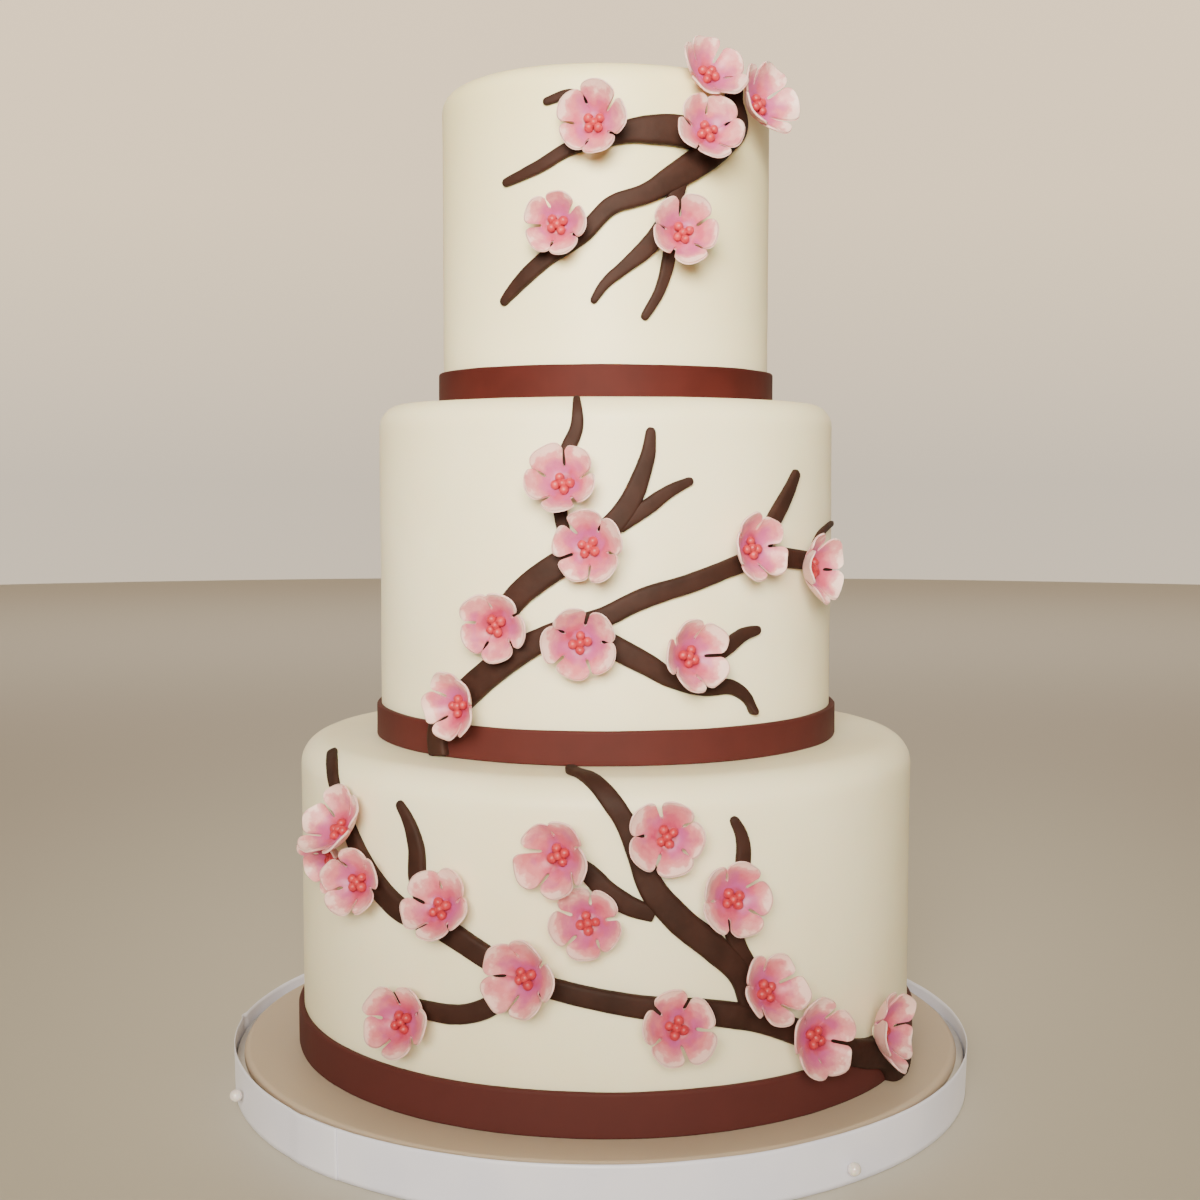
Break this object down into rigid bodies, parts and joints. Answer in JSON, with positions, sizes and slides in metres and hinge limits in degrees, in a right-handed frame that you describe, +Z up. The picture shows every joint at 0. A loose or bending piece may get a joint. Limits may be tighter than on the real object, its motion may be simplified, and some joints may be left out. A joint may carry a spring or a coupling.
{
  "type": "tiered wedding cake on a board",
  "caption": "Tiered wedding cake in ivory fondant with chocolate-brown fondant branches, pink blossoms and brown bands, on an iced board with a satin ribbon",
  "frame": {"origin": "middle of the board's underside, on the surface the cake stands on", "axes": "+Z is up through the tiers, the decorated front faces -Y, and +X is to the right as seen from the front"},
  "size_m": [0.2542, 0.2542, 0.3457],
  "materials": {
    "fondant": "ivory sugar paste, smooth and matte",
    "band": "reddish-brown chocolate paste strip, soft sheen",
    "branch": "hand-rolled chocolate-brown paste, matte",
    "petal": "thin pale pink flower paste, deeper pink at the heart, coral centres",
    "board": "foil-papered drum board, off-white underside",
    "ribbon": "white satin ribbon with a lilac cast",
    "pearl": "pearl-lustre pin heads"
  },
  "bodies": {
    "root": {"cake_board": "board", "board_icing": "fondant", "board_ribbon": "ribbon", "pearl_pin_left": "pearl", "pearl_pin_right": "pearl", "pearl_pin_back": "pearl", "tier_bottom": "fondant", "band_bottom": "band", "branch_bottom_main": "branch", "branch_bottom_left_upper": "branch", "branch_bottom_left_lower": "branch", "branch_bottom_upright": "branch", "branch_bottom_upright_right": "branch", "branch_bottom_upright_left": "branch", "blossom_bottom_1": "petal", "blossom_bottom_2": "petal", "blossom_bottom_3": "petal", "blossom_bottom_4": "petal", "blossom_bottom_5": "petal", "blossom_bottom_6": "petal", "blossom_bottom_7": "petal", "blossom_bottom_8": "petal", "blossom_bottom_9": "petal", "blossom_bottom_10": "petal", "blossom_bottom_11": "petal", "blossom_bottom_12": "petal", "blossom_bottom_13": "petal", "blossom_bottom_14": "petal", "tier_middle": "fondant", "band_middle": "band", "branch_middle_main": "branch", "branch_middle_upright": "branch", "branch_middle_upright_twig": "branch", "branch_middle_shoulder_twig": "branch", "branch_middle_lower": "branch", "branch_middle_lower_twig": "branch", "branch_middle_side": "branch", "branch_middle_side_twig": "branch", "blossom_middle_1": "petal", "blossom_middle_2": "petal", "blossom_middle_3": "petal", "blossom_middle_4": "petal", "blossom_middle_5": "petal", "blossom_middle_6": "petal", "blossom_middle_7": "petal", "blossom_middle_8": "petal", "tier_top": "fondant", "band_top": "band", "branch_top_main": "branch", "branch_top_upper": "branch", "branch_top_upper_twig": "branch", "branch_top_lower": "branch", "branch_top_lower_twig": "branch", "blossom_top_1": "petal", "blossom_top_2": "petal", "blossom_top_3": "petal", "blossom_top_4": "petal", "blossom_top_5": "petal", "blossom_top_6": "petal"}
  },
  "joints": []
}
